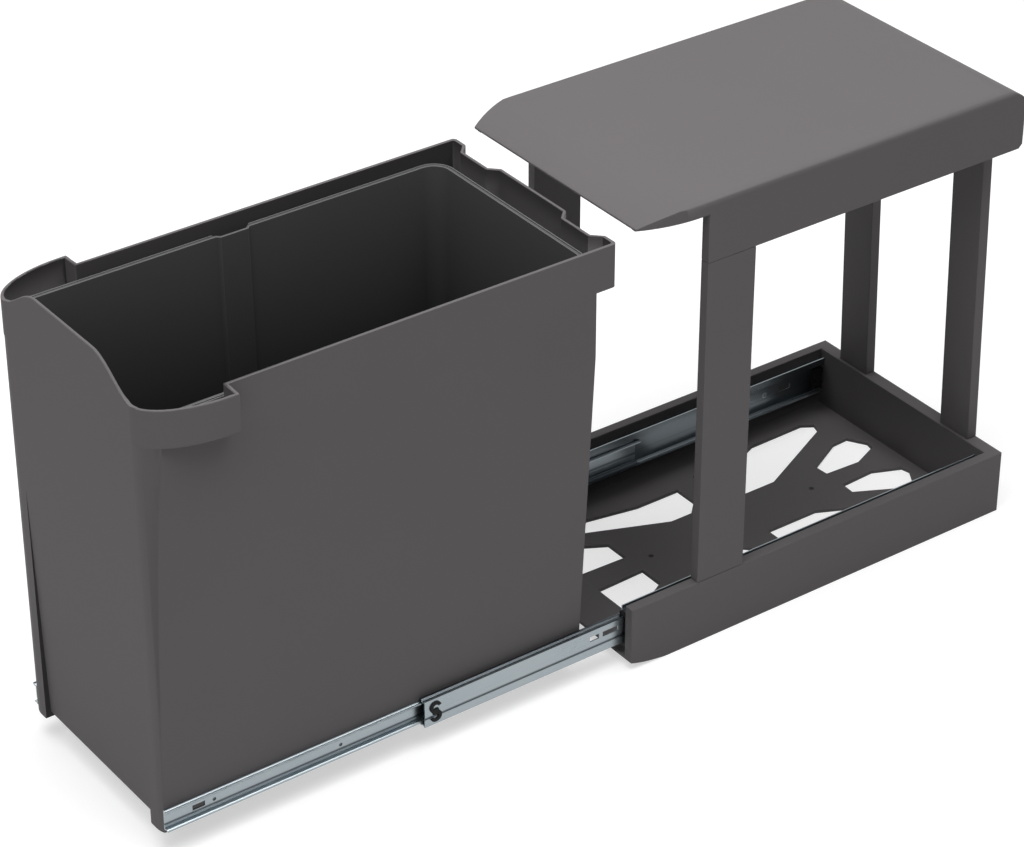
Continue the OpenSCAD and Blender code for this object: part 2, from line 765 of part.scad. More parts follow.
// Left cabinet rail, with screw holes and a tab bent in at its rear end
module cabinet_rail() {
    color(zinc) difference() {
        union() {
            along_wall(cabinet_y0, cabinet_y1) cabinet_profile();
            slide_box(gauge - eps, tab_u, cabinet_y1 - gauge, cabinet_y1, -tab_v, tab_v);
        }
        for (y = cabinet_screw_y)
            translate([-wall_in + gauge, y, slide_z]) rotate([0, 0, 180]) csk_room(gauge + over);
        for (y = cabinet_screw_y)
            slide_slot(-over, gauge + over, y + rail_slot_in, slot_l, 0);
    }
}

module left_cabinet_rail() {
    on_side(-1) cabinet_rail();
}

module right_cabinet_rail() {
    on_side(1) cabinet_rail();
}

// Screws that fix the cabinet rails to the base walls
module cabinet_rail_screws() {
    color(zinc) for (s = [-1, 1]) on_side(s) for (y = cabinet_screw_y)
        translate([-wall_in + gauge, y, slide_z]) rotate([0, 0, 180]) csk_screw(cabinet_screw_l);
}

// Left rear stop, a plastic buffer in the rear end of the cabinet rail
module rear_stop() {
    color(black) difference() {
        slide_box(gauge, tab_u + buffer_proud, rear_stop_y, cabinet_y1 - gauge, -buffer_v, buffer_v);
        slide_box(mid_u + gauge, tab_u + over, rear_stop_y - over, rear_stop_y + buffer_notch,
            -buffer_v / 2, buffer_v / 2);
    }
}

module left_rear_stop() {
    on_side(-1) rear_stop();
}

module right_rear_stop() {
    on_side(1) rear_stop();
}

// Left mouth guide: a black frame on the front end of the cabinet rail
module mouth_guide() {
    color(black) difference() {
        slide_box(0, guide_u, -half_l + guide_back, cabinet_y0, -slide_h / 2, slide_h / 2);
        slide_box(gauge, guide_u + over, -half_l, cabinet_y0 + over, -guide_v, guide_v);
    }
}

module left_mouth_guide() {
    on_side(-1) mouth_guide();
}

module right_mouth_guide() {
    on_side(1) mouth_guide();
}

// Left middle rail, with slots near the mouth of the base and a window for the front stop
module mid_rail() {
    u0 = mid_u - over;
    u1 = mid_u + gauge + over;
    color(zinc) difference() {
        along_wall(mid_y0, mid_y1) mid_profile();
        for (slot = mid_slots) slide_slot(u0, u1, -half_l - slot[0], slot[1], mid_slot_v);
        slide_box(u0, u1, window_y, window_y + window_l, -window_h / 2, window_h / 2);
    }
}

module left_mid_rail() {
    on_side(-1) mid_rail();
}

module right_mid_rail() {
    on_side(1) mid_rail();
}

// Left front stop: an S-shaped plastic clip through the front window of the middle rail
module front_stop() {
    u0 = mid_u - stop_plate;
    u1 = mid_u + gauge;
    color(black) {
        translate([-wall_in + u0, window_y + window_l / 2, slide_z]) rotate([90, 0, 90])
            linear_extrude(height = stop_plate) for (turn = [0, 180]) rotate(turn)
                translate([0, (stop_r + stop_hole_r) / 2])
                    arc_band(stop_hole_r, stop_r, stop_open[0], stop_open[1]);
        slide_box(u0, u1 + stop_plate, window_y + socket_gap, window_y + window_l - socket_gap,
            -window_h / 2 + socket_gap, window_h / 2 - socket_gap);
        slide_box(u1, u1 + stop_plate, window_y - stop_lap, window_y + window_l + stop_lap,
            -stop_wide, stop_wide);
    }
}

module left_front_stop() {
    on_side(-1) front_stop();
}

module right_front_stop() {
    on_side(1) front_stop();
}

// Left ball cage: an upper and a lower strip with ball pockets, joined by a plate at each end
module cage(plate_u, strip_u, y0, y1, ball_u, ball_v, ball_d, n) {
    step = (y1 - y0) / n;
    color(zinc) difference() {
        union() {
            for (m = [-1, 1])
                slide_box(plate_u, strip_u, y0, y1, m * ball_v - cage_t / 2, m * ball_v + cage_t / 2);
            for (y = [y0, y1 - cage_end_l])
                slide_box(plate_u, plate_u + cage_t, y, y + cage_end_l, -ball_v, ball_v);
        }
        for (i = [0 : n - 1])
            translate([-wall_in + ball_u, y0 + (i + 0.5) * step, slide_z])
                cylinder(h = 2 * ball_v + 2 * over, r = ball_d / 2 + cage_gap, center = true, $fn = 32);
    }
}

// Both rows of balls in a left cage
module ball_rows(y0, y1, ball_u, ball_v, ball_d, n) {
    step = (y1 - y0) / n;
    color(ball_steel) for (m = [-1, 1]) for (i = [0 : n - 1])
        translate([-wall_in + ball_u, y0 + (i + 0.5) * step, slide_z + m * ball_v])
            sphere(d = ball_d, $fn = 32);
}

module outer_cage() {
    cage(outer_plate_u, outer_strip_u, outer_cage_y0, outer_cage_y1,
        outer_ball_u, outer_ball_v, outer_ball_d, outer_ball_n);
}

module inner_cage() {
    cage(inner_plate_u, inner_strip_u, inner_cage_y0, inner_cage_y1,
        inner_ball_u, inner_ball_v, inner_ball_d, inner_ball_n);
}

module outer_balls() {
    ball_rows(outer_cage_y0, outer_cage_y1, outer_ball_u, outer_ball_v, outer_ball_d, outer_ball_n);
}

module inner_balls() {
    ball_rows(inner_cage_y0, inner_cage_y1, inner_ball_u, inner_ball_v, inner_ball_d, inner_ball_n);
}

module left_outer_cage() {
    on_side(-1) outer_cage();
}

module right_outer_cage() {
    on_side(1) outer_cage();
}

module left_outer_balls() {
    on_side(-1) outer_balls();
}

module right_outer_balls() {
    on_side(1) outer_balls();
}

module left_inner_cage() {
    on_side(-1) inner_cage();
}

module right_inner_cage() {
    on_side(1) inner_cage();
}

module left_inner_balls() {
    on_side(-1) inner_balls();
}

module right_inner_balls() {
    on_side(1) inner_balls();
}

// Left drawer rail, with screw holes and a slot near its front end
module drawer_rail() {
    color(zinc) difference() {
        along_wall(drawer_y0, drawer_y1) drawer_profile();
        for (y = drawer_screw_y) slide_bar(drawer_u - over, slide_t + over, y, 0, hole_r, hole_r);
        slide_slot(drawer_u - over, slide_t + over, drawer_slot_y, drawer_slot_l, 0);
    }
}

module left_drawer_rail() {
    on_side(-1) drawer_rail();
}

module right_drawer_rail() {
    on_side(1) drawer_rail();
}

// Screws that fix the drawer rails to the bin, driven from inside the bin
module drawer_rail_screws() {
    color(zinc) for (s = [-1, 1]) on_side(s) for (y = drawer_screw_y)
        translate([-wall_in + slide_t + bin_t, y, slide_z]) mirror([1, 0, 0]) pan_screw(drawer_screw_l);
}

// Cross outline of the bin, in x and z, brought in by t: upright at the rails, then drafted
module bin_cross(t, z0) {
    top = rim_z + hump_h + over;
    top_hw = low_hw + side_slope * (top - band_z) - t;
    polygon([
        [-low_hw + t, z0], [low_hw - t, z0], [low_hw - t, band_z],
        [top_hw, top], [-top_hw, top], [-low_hw + t, band_z]
    ]);
}

// Side outline of the bin, in y and z: the rear wall leans
module bin_side() {
    top = rim_z + over;
    polygon([
        [bin_y0 - over, bin_low_z], [foot_y, bin_low_z], [foot_y, band_z],
        [foot_y + rear_slope * (top - band_z), top], [bin_y0 - over, top]
    ]);
}

// Side outline of the hollow, in y and z: its front follows the set-back front wall
module hollow_side() {
    top = rim_z + hump_h + over;
    front = bin_y0 + bin_t;
    polygon([
        [front + toe_slope * (toe_z - bin_inner_z), bin_inner_z], [foot_y - bin_t, bin_inner_z],
        [foot_y - bin_t, band_z], [foot_y - bin_t + rear_slope * (top - band_z), top],
        [front - over, top], [front - over, toe_z + over / toe_slope]
    ]);
}

// Plan of the bin just below its collars, brought in by t
module top_plan(t) {
    rounded_plan(rim_hw - t, bin_y0 + t, rear_y - t, top_corner_r - t / 2, rear_corner_r - t / 2);
}

// One recess in the rear collar, widened by t
module recess(t) {
    side = t * tan(22.5);
    y = collar_y1 - t;
    polygon([
        [recess_in - side - over, y + over],
        [recess_in - side, y],
        [recess_in + recess_d - side, y - recess_d],
        [recess_out - recess_d + side, y - recess_d],
        [recess_out + side, y],
        [recess_out + side + over, y + over]
    ]);
}

// Plan of the rear collar, brought in by t
module rear_collar_plan(t) {
    difference() {
        rounded_plan(rim_hw - t, rear_y - 2 * rear_collar_d, collar_y1 - t,
            collar_root_r, collar_corner_r - t / 2);
        recess(t);
        mirror([1, 0]) recess(t);
    }
}

// Plan of the front collar, brought in by t: its front corners are quarter ellipses
module front_collar_plan(t) {
    n = 18;
    cx = front_hw - corner_a;
    cy = bin_y0 + corner_b;
    right = [for (i = [0 : n]) [
        cx + (corner_a - t) * cos(90 * i / n),
        cy - (corner_b - t) * sin(90 * i / n)
    ]];
    left = [for (i = [0 : n]) [-right[n - i][0], right[n - i][1]]];
    polygon(concat([[front_hw - t, jog_y - t]], right, left, [[t - front_hw, jog_y - t]]));
}

// Outline of the front rim with its hump, in x and z
module hump_side() {
    n = 52;
    run = hump_hw - hump_flat;
    curve = [for (i = [0 : n]) let (x = hump_hw * (1 - 2 * i / n))
        [x, rim_z - hump_root
            + (hump_h + hump_root) * (1 + cos(180 * max(0, abs(x) - hump_flat) / run)) / 2]];
    polygon(concat([[-hump_hw, rim_z - hump_foot], [hump_hw, rim_z - hump_foot]], curve));
}

// Outer form of the bin without the hump
module bin_form() {
    intersection() {
        translate([0, collar_y1, 0]) rotate([90, 0, 0])
            linear_extrude(height = collar_y1 - bin_y0 + over) bin_cross(0, bin_low_z);
        translate([-front_hw, 0, 0]) rotate([90, 0, 90]) linear_extrude(height = 2 * front_hw) bin_side();
        translate([0, 0, bin_low_z - over]) linear_extrude(height = rim_z - bin_low_z + over) top_plan(0);
    }
    translate([0, 0, rear_collar_z]) linear_extrude(height = rim_z - rear_collar_z) rear_collar_plan(0);
    translate([0, 0, front_collar_z]) linear_extrude(height = rim_z - front_collar_z) front_collar_plan(0);
}

// Hollow of the bin
module bin_hollow() {
    top = rim_z + hump_h + over;
    intersection() {
        translate([0, collar_y1, 0]) rotate([90, 0, 0])
            linear_extrude(height = collar_y1 - bin_y0 + over) bin_cross(bin_t, bin_inner_z - over);
        translate([-front_hw, 0, 0]) rotate([90, 0, 90]) linear_extrude(height = 2 * front_hw) hollow_side();
        translate([0, 0, bin_floor_z]) linear_extrude(height = top) top_plan(bin_t);
    }
    translate([0, 0, rear_collar_z + bin_t])
        linear_extrude(height = top - rear_collar_z - bin_t) rear_collar_plan(bin_t);
    translate([0, 0, front_collar_z + bin_t])
        linear_extrude(height = top - front_collar_z - bin_t) front_collar_plan(bin_t);
}

// Room cut away under the bin and in front of its foot, between the corner legs
module bin_cuts() {
    leg_hw = low_hw - leg_w;
    deep = bin_floor_z - bin_low_z + over;
    translate([-low_hw - over, bin_y0 + leg_w, bin_low_z - over])
        cube([2 * (low_hw + over), foot_y - bin_y0 - 2 * leg_w, deep]);
    translate([-leg_hw, bin_y0 - over, bin_low_z - over])
        cube([2 * leg_hw, foot_y - bin_y0 + 2 * over, deep]);
    translate([-leg_hw, 0, 0]) rotate([90, 0, 90]) linear_extrude(height = 2 * leg_hw)
        polygon([
            [bin_y0 - over, bin_low_z - over],
            [bin_y0 + toe_in, bin_low_z - over],
            [bin_y0 + toe_in, bin_floor_z],
            [bin_y0, toe_z],
            [bin_y0 - over, toe_z]
        ]);
}

// Bin: drafted shell with collars, a humped front rim and legs at its corners
module bin() {
    color(plastic) difference() {
        union() {
            bin_form();
            intersection() {
                translate([0, bin_y0 + corner_b, 0]) rotate([90, 0, 0])
                    linear_extrude(height = corner_b + over) hump_side();
                translate([0, 0, rim_z - over])
                    linear_extrude(height = hump_h + 2 * over) front_collar_plan(0);
            }
        }
        bin_hollow();
        bin_cuts();
        for (s = [-1, 1]) on_side(s) for (y = drawer_screw_y)
            slide_bar(slide_t - over, slide_t + bin_t + over, y, 0, hole_r, hole_r);
    }
}

// Tapered body of the bucket, brought in by t, from z0 to z1: flat sides and conical corners
module bucket_body(t, z0, z1) {
    x = bucket_hw - bucket_r;
    y0 = bucket_y0 + bucket_lip_w + bucket_r;
    y1 = bucket_top_y1 - bucket_r;
    r0 = bucket_r - t - bucket_slope * (bucket_lip_z - z0);
    r1 = bucket_r - t - bucket_slope * (bucket_lip_z - z1);
    side = [[0, z0], [r0, z0], [r1, z1], [0, z1]];
    translate([-x, y0, z0]) cube([2 * x, y1 - y0, z1 - z0]);
    for (m = [0, 1]) mirror([m, 0, 0])
        translate([x, y1, 0]) rotate([90, 0, 0]) linear_extrude(height = y1 - y0) polygon(side);
    translate([-x, y1, 0]) rotate([90, 0, 90]) linear_extrude(height = 2 * x) polygon(side);
    translate([-x, y0, 0]) mirror([0, 1, 0]) rotate([90, 0, 90]) linear_extrude(height = 2 * x) polygon(side);
    translate([x, y1, 0]) rotate_extrude(angle = 90) polygon(side);
    translate([-x, y1, 0]) rotate([0, 0, 90]) rotate_extrude(angle = 90) polygon(side);
    translate([-x, y0, 0]) rotate([0, 0, 180]) rotate_extrude(angle = 90) polygon(side);
    translate([x, y0, 0]) rotate([0, 0, 270]) rotate_extrude(angle = 90) polygon(side);
}

// Plan of the bucket rim, brought in by t
module bucket_rim_plan(t) {
    r = bucket_r + bucket_lip_w - t;
    rounded_plan(bucket_lip_hw - t, bucket_y0 + t, bucket_y1 - t, r, r);
}

// Upright rib of the left bucket side, brought in by t; it follows the lean of the wall
module bucket_rib(t) {
    hw = bucket_rib_w / 2 - t * sqrt(2);
    deep = bucket_rib_d - t;
    translate([-bucket_hw, bucket_rib_y, bucket_lip_z]) rotate([0, -bucket_lean, 0])
        translate([0, 0, -bucket_lip_z]) linear_extrude(height = bucket_rim_z + bucket_lip_h)
            polygon([
                [-rib_reach, -hw - rib_reach], [deep, deep - hw],
                [deep, hw - deep], [-rib_reach, hw + rib_reach]
            ]);
}

// Outer form of the bucket with its rim
module bucket_form() {
    bucket_body(0, bucket_z, bucket_lip_z + bucket_lip_h / 2);
    translate([0, 0, bucket_lip_z]) linear_extrude(height = bucket_lip_h) bucket_rim_plan(0);
}

// Lift-out bucket with a rolled rim and an upright rib in each side
module inner_bucket() {
    color(dark_plastic) difference() {
        bucket_form();
        difference() {
            bucket_body(bucket_t, bucket_z + bucket_t, bucket_rim_z + over);
            for (s = [-1, 1]) on_side(s) bucket_rib(0);
        }
        translate([0, 0, bucket_rim_z - rim_groove]) linear_extrude(height = rim_groove + over) difference() {
            bucket_rim_plan(rim_groove);
            bucket_rim_plan(2 * rim_groove);
        }
        for (s = [-1, 1]) on_side(s) bucket_rib(bucket_t);
    }
}

base_frame();
front_left_post();
front_right_post();
rear_left_post();
rear_right_post();
lid();
post_screws();
left_cabinet_rail();
right_cabinet_rail();
cabinet_rail_screws();
left_rear_stop();
right_rear_stop();
left_mouth_guide();
right_mouth_guide();
left_mid_rail();
right_mid_rail();
left_front_stop();
right_front_stop();
left_outer_cage();
right_outer_cage();
left_outer_balls();
right_outer_balls();
left_inner_cage();
right_inner_cage();
left_inner_balls();
right_inner_balls();
left_drawer_rail();
right_drawer_rail();
drawer_rail_screws();
bin();
inner_bucket();
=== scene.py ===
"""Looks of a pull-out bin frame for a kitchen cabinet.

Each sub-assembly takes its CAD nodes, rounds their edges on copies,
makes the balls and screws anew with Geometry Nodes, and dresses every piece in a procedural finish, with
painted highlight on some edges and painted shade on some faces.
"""
from __future__ import annotations

import json
import logging
import math
from dataclasses import dataclass, field
from enum import Enum
from typing import Any, Callable, ClassVar, Sequence

import bmesh
import bpy
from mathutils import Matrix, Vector
from mathutils.geometry import intersect_point_line


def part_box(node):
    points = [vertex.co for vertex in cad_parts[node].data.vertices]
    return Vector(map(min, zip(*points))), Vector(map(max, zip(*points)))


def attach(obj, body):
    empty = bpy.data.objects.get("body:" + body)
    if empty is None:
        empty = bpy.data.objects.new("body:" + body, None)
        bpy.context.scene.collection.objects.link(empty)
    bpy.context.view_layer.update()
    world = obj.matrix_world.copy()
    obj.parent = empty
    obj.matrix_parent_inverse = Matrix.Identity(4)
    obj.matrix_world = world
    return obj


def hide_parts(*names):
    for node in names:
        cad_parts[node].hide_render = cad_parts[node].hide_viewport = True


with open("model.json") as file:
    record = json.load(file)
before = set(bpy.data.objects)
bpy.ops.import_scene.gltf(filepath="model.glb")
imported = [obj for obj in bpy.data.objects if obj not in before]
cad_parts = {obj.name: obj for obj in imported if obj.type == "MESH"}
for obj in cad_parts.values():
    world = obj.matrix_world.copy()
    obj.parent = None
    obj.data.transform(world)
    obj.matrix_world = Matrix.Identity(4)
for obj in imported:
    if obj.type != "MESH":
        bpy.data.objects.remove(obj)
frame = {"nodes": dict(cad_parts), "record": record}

LOG = logging.getLogger("bin_frame")
MM = 0.001
Triple = tuple[float, float, float]


class Slot(Enum):
    """Material slots of the record."""

    ANTHRACITE = "anthracite_plastic"
    BUCKET = "bucket_plastic"
    ZINC = "zinc_steel"
    BLACK = "black_plastic"
    BALL = "ball_steel"


class Side(Enum):
    """The two sides of the frame, seen from the front."""

    LEFT = "left"
    RIGHT = "right"


class Head(Enum):
    """Heads of the screws."""

    PAN = "pan"
    COUNTERSUNK = "countersunk"


class Signal:
    """A node's output that takes part in Python expressions on values."""

    def __init__(self, graph: "Graph", socket: bpy.types.NodeSocket | None) -> None:
        """Keeps the socket and the tree that it belongs to."""
        self.graph = graph
        self.socket = socket

    def _math(self, operation: str, first: Any, second: Any) -> "Signal":
        """Adds one Math node for an expression of two values."""
        return self.graph.make("ShaderNodeMath", {"operation": operation}, {0: first, 1: second})

    def __add__(self, other: Any) -> "Signal":
        """Sum."""
        return self._math("ADD", self, other)

    def __radd__(self, other: Any) -> "Signal":
        """Sum with the socket on the right."""
        return self._math("ADD", other, self)

    def __sub__(self, other: Any) -> "Signal":
        """Difference."""
        return self._math("SUBTRACT", self, other)

    def __rsub__(self, other: Any) -> "Signal":
        """Difference with the socket on the right."""
        return self._math("SUBTRACT", other, self)

    def __mul__(self, other: Any) -> "Signal":
        """Product."""
        return self._math("MULTIPLY", self, other)

    def __rmul__(self, other: Any) -> "Signal":
        """Product with the socket on the right."""
        return self._math("MULTIPLY", other, self)

    def __truediv__(self, other: Any) -> "Signal":
        """Quotient."""
        return self._math("DIVIDE", self, other)

    def __rtruediv__(self, other: Any) -> "Signal":
        """Quotient with the socket on the right."""
        return self._math("DIVIDE", other, self)

    def at_most(self, other: Any) -> "Signal":
        """The lesser of two values."""
        return self._math("MINIMUM", self, other)

    def at_least(self, other: Any) -> "Signal":
        """The greater of two values."""
        return self._math("MAXIMUM", self, other)

    def as_share(self) -> "Signal":
        """The value kept between zero and one."""
        return self.at_least(0.0).at_most(1.0)

    def near(self, centre: float, reach: float) -> "Signal":
        """One at a value, falling to zero at a distance from it."""
        return (1.0 - self._math("ABSOLUTE", self - centre, 0.0) / reach).at_least(0.0)


class Graph:
    """A node tree that is built in script."""

    def __init__(self, tree: bpy.types.NodeTree) -> None:
        """Starts from an empty tree."""
        self.tree = tree
        self.tree.nodes.clear()

    def make(
        self,
        kind: str,
        settings: dict[str, Any] | None = None,
        sockets: dict[int | str, Any] | None = None,
        output: int | str = 0,
    ) -> Signal:
        """Adds a node.

        Args:
            kind: Blender's type name of the node.
            settings: what is set on the node itself, before its sockets.
            sockets: values, links or lists of links of its inputs, by name or number.
            output: the output that is handed back.

        Returns:
            The chosen output as a signal.
        """
        node = self.tree.nodes.new(kind)
        for key, value in (settings or {}).items():
            setattr(node, key, value)
        for key, value in (sockets or {}).items():
            links = value if isinstance(value, list) else [value]
            if isinstance(links[0], Signal):
                for link in links:
                    self.tree.links.new(link.socket, node.inputs[key])
            else:
                node.inputs[key].default_value = value
        return Signal(self, node.outputs[output] if node.outputs else None)


class GeometryGraph(Graph):
    """A Geometry Nodes tree with named inputs, which ends in one dressed mesh."""

    def __init__(self, name: str, inputs: dict[str, str]) -> None:
        """Starts the tree.

        Args:
            name: name of the tree.
            inputs: socket type of each named input.
        """
        super().__init__(bpy.data.node_groups.new(name, "GeometryNodeTree"))
        self.tree.interface.new_socket("Geometry", in_out="INPUT", socket_type="NodeSocketGeometry")
        for title, kind in {**inputs, "Material": "NodeSocketMaterial"}.items():
            self.tree.interface.new_socket(title, in_out="INPUT", socket_type=kind)
        self.tree.interface.new_socket("Geometry", in_out="OUTPUT", socket_type="NodeSocketGeometry")
        self.entry = self.tree.nodes.new("NodeGroupInput")

    def given(self, title: str) -> Signal:
        """One of the named inputs."""
        return Signal(self, self.entry.outputs[title])

    def vector(self, x: Any = 0.0, y: Any = 0.0, z: Any = 0.0) -> Signal:
        """A vector from three values."""
        return self.make("ShaderNodeCombineXYZ", None, {"X": x, "Y": y, "Z": z})

    def shift(self, geometry: Signal, offset: Signal) -> Signal:
        """Geometry moved by a vector."""
        return self.make("GeometryNodeTransform", None, {"Geometry": geometry, "Translation": offset})

    def end(self, geometry: Signal) -> None:
        """Realises the instances, sets the material and closes the tree."""
        whole = self.make("GeometryNodeRealizeInstances", None, {"Geometry": geometry})
        sockets = {"Geometry": whole, "Material": self.given("Material")}
        dressed = self.make("GeometryNodeSetMaterial", None, sockets)
        self.make("NodeGroupOutput", None, {"Geometry": dressed})

    def run(self, start: bpy.types.Mesh, values: dict[str, Any]) -> bpy.types.Mesh:
        """Evaluates the tree on a mesh.

        Args:
            start: the mesh that goes in.
            values: values of the named inputs.

        Returns:
            The result as a plain mesh.
        """
        holder = bpy.data.objects.new("holder", start)
        bpy.context.scene.collection.objects.link(holder)
        modifier = holder.modifiers.new(self.tree.name, "NODES")
        modifier.node_group = self.tree
        for item in self.tree.interface.items_tree:
            if item.in_out == "INPUT" and item.name in values:
                modifier[item.identifier] = values[item.name]
        seen = holder.evaluated_get(bpy.context.evaluated_depsgraph_get())
        mesh = bpy.data.meshes.new_from_object(seen)
        bpy.data.objects.remove(holder)
        return mesh


class Shade(Graph):
    """Builds the node tree of one material."""

    mix_first: ClassVar[int] = 6
    mix_second: ClassVar[int] = 7
    mix_result: ClassVar[int] = 2

    def __init__(self, name: str) -> None:
        """Starts an empty material of that name."""
        self.material = bpy.data.materials.new(name)
        self.material.use_nodes = True
        super().__init__(self.material.node_tree)

    def place(self, stretch: Sequence[float] = (1.0, 1.0, 1.0)) -> Signal:
        """Object coordinates, stretched along each axis.

        Args:
            stretch: factors on x, y and z.

        Returns:
            The coordinates as a signal.
        """
        point = self.make("ShaderNodeTexCoord", output="Object")
        return self.make("ShaderNodeMapping", None, {"Vector": point, "Scale": tuple(stretch)})

    def mark(self, name: str) -> Signal:
        """A value that the mesh carries in an attribute."""
        return self.make("ShaderNodeAttribute", {"attribute_name": name}, None, "Fac")

    def noise(self, point: Signal, scale: float, detail: float) -> Signal:
        """Noise between 0 and 1 at a number of cells to the metre."""
        sockets = {"Vector": point, "Scale": scale, "Detail": detail}
        return self.make("ShaderNodeTexNoise", None, sockets, "Fac")

    def mix(self, factor: Signal, first: Triple | Signal, second: Triple | Signal) -> Signal:
        """Mix of two colours."""
        pair = [colour if isinstance(colour, Signal) else (*colour, 1.0) for colour in (first, second)]
        sockets = {"Factor": factor, self.mix_first: pair[0], self.mix_second: pair[1]}
        return self.make("ShaderNodeMix", {"data_type": "RGBA"}, sockets, self.mix_result)

    def bump(self, height: Signal, depth: float, strength: float) -> Signal:
        """Normal that follows a height, with its depth in metres."""
        sockets = {"Height": height, "Distance": depth, "Strength": strength}
        return self.make("ShaderNodeBump", None, sockets, "Normal")

    def finish(self, sockets: dict[int | str, Any]) -> bpy.types.Material:
        """Ends the tree in a Principled shader with the given sockets.

        Args:
            sockets: values or links of the shader's inputs.

        Returns:
            The finished material.
        """
        shader = self.make("ShaderNodeBsdfPrincipled", None, sockets)
        self.make("ShaderNodeOutputMaterial", None, {"Surface": shader})
        return self.material


@dataclass(frozen=True)
class MouldedPlastic:
    """Injection-moulded plastic with a fine eroded grain and slightly polished edges, with a painted
    highlight on the edges and painted shade on marked faces and towards the bottom of hollow pieces.
    """

    name: str
    colour: Triple
    roughness: float
    grain_cells: float = 1500.0
    grain_detail: float = 2.0
    grain_depth: float = 0.05 * MM
    grain_strength: float = 0.35
    grain_dulling: float = 0.1
    mottle_cells: float = 9.0
    mottle_detail: float = 3.0
    mottle: float = 0.05
    mottle_dulling: float = 0.12
    # Strength of the painted highlight on rounded edges.
    painted_edge_highlight: float = 0.0
    edge_polish: float = 0.08
    gloss: float = 0.08
    # Strength of the painted shade on faces marked for it.
    inside: float = 0.62
    # Painted shade towards the bottom of a hollow piece: its strength, and the heights where it is full and
    # where it is gone.
    painted_bottom_shade: float = 0.0
    painted_bottom_shade_from: float = 240.0 * MM
    painted_bottom_shade_to: float = 421.0 * MM
    # Colour of the painted shade.
    painted_shade_colour: Triple = (0.004, 0.004, 0.004)

    def material(self) -> bpy.types.Material:
        """Builds the material, with painted shade on marked faces and towards the bottom of a hollow piece,
        and a painted highlight on rounded edges.
        """
        shade = Shade(self.name)
        point = shade.place()
        grain = shade.noise(point, self.grain_cells, self.grain_detail)
        cloud = shade.noise(point, self.mottle_cells, self.mottle_detail)
        edge = shade.mark("edge")
        # Painted highlight: rounded edges are lifted towards the light tone, level ones most; the mottle
        # between the two tones is the plastic's own.
        light = tuple(c * (1.0 + self.mottle + self.painted_edge_highlight) for c in self.colour)
        dark = tuple(c * (1.0 - self.mottle) for c in self.colour)
        span = 2.0 * self.mottle + self.painted_edge_highlight
        factor = (cloud * (2.0 * self.mottle / span) + edge * (self.painted_edge_highlight / span)).at_most(1.0)
        # Painted shade that is full at the lower height and gone at the upper one.
        height = shade.make("ShaderNodeSeparateXYZ", None, {0: point}, "Z")
        depth = ((self.painted_bottom_shade_to - height) / (self.painted_bottom_shade_to - self.painted_bottom_shade_from)).as_share()
        # Painted shade: marked faces and low parts of a hollow piece go towards the colour of the shade.
        painted_darkening = (shade.mark("inside") * self.inside + depth * self.painted_bottom_shade).at_most(1.0)
        dulling = (cloud - 0.5) * self.mottle_dulling + (grain - 0.5) * self.grain_dulling
        return shade.finish({
            "Base Color": shade.mix(painted_darkening, shade.mix(factor, dark, light), self.painted_shade_colour),
            "Roughness": self.roughness + dulling - edge * self.edge_polish,
            "Specular IOR Level": self.gloss,
            "Normal": shade.bump(grain, self.grain_depth, self.grain_strength),
        })


@dataclass(frozen=True)
class ZincPlate:
    """Bright zinc plate on cold-rolled strip, with rolling lines along the rails and painted shade in their
    groove and on marked faces.
    """

    name: str
    pale: Triple
    blue: Triple
    roughness: float
    line_cells: float = 900.0
    line_stretch: float = 0.006
    line_detail: float = 2.0
    line_share: float = 0.25
    line_depth: float = 0.02 * MM
    line_strength: float = 0.12
    line_dulling: float = 0.16
    bloom_cells: float = 16.0
    bloom_detail: float = 4.0
    bloom_dulling: float = 0.12
    # A painted shade line along the groove of the rails: its height, half width, strength and colour.
    groove_z: float = 32.6 * MM
    groove_reach: float = 2.0 * MM
    painted_groove_shade_strength: float = 0.85
    painted_groove_shade_colour: Triple = (0.06, 0.07, 0.08)

    def material(self) -> bpy.types.Material:
        """Builds the material, with a painted shade line along the groove of the rails and painted shade on
        marked faces.
        """
        shade = Shade(self.name)
        along = shade.place((1.0, self.line_stretch, 1.0))
        lines = shade.noise(along, self.line_cells, self.line_detail)
        bloom = shade.noise(shade.place(), self.bloom_cells, self.bloom_detail)
        factor = (bloom * (1.0 - self.line_share) + lines * self.line_share).at_most(1.0)
        height = shade.make("ShaderNodeSeparateXYZ", None, {0: shade.place()}, "Z")
        # Painted shade: a dark line along the groove and dark marked faces, standing in for shade and dark
        # reflections there.
        groove = height.near(self.groove_z, self.groove_reach)
        dark = groove.at_least(shade.mark("inside")) * self.painted_groove_shade_strength
        plate = shade.mix(factor, self.blue, self.pale)
        dulling = (lines - 0.5) * self.line_dulling + (bloom - 0.5) * self.bloom_dulling
        return shade.finish({
            "Base Color": shade.mix(dark, plate, self.painted_groove_shade_colour),
            "Metallic": 1.0,
            "Roughness": self.roughness + dulling,
            "Normal": shade.bump(lines, self.line_depth, self.line_strength),
        })


@dataclass(frozen=True)
class PolishedSteel:
    """Ground and polished ball steel."""

    name: str
    colour: Triple
    roughness: float
    film_cells: float = 420.0
    film_detail: float = 2.0
    film_shade: float = 0.86
    film_dulling: float = 0.08

    def material(self) -> bpy.types.Material:
        """Builds the material."""
        shade = Shade(self.name)
        film = shade.noise(shade.place(), self.film_cells, self.film_detail)
        dull = tuple(c * self.film_shade for c in self.colour)
        return shade.finish({
            "Base Color": shade.mix(film, dull, self.colour),
            "Metallic": 1.0,
            "Roughness": self.roughness + film * self.film_dulling,
        })


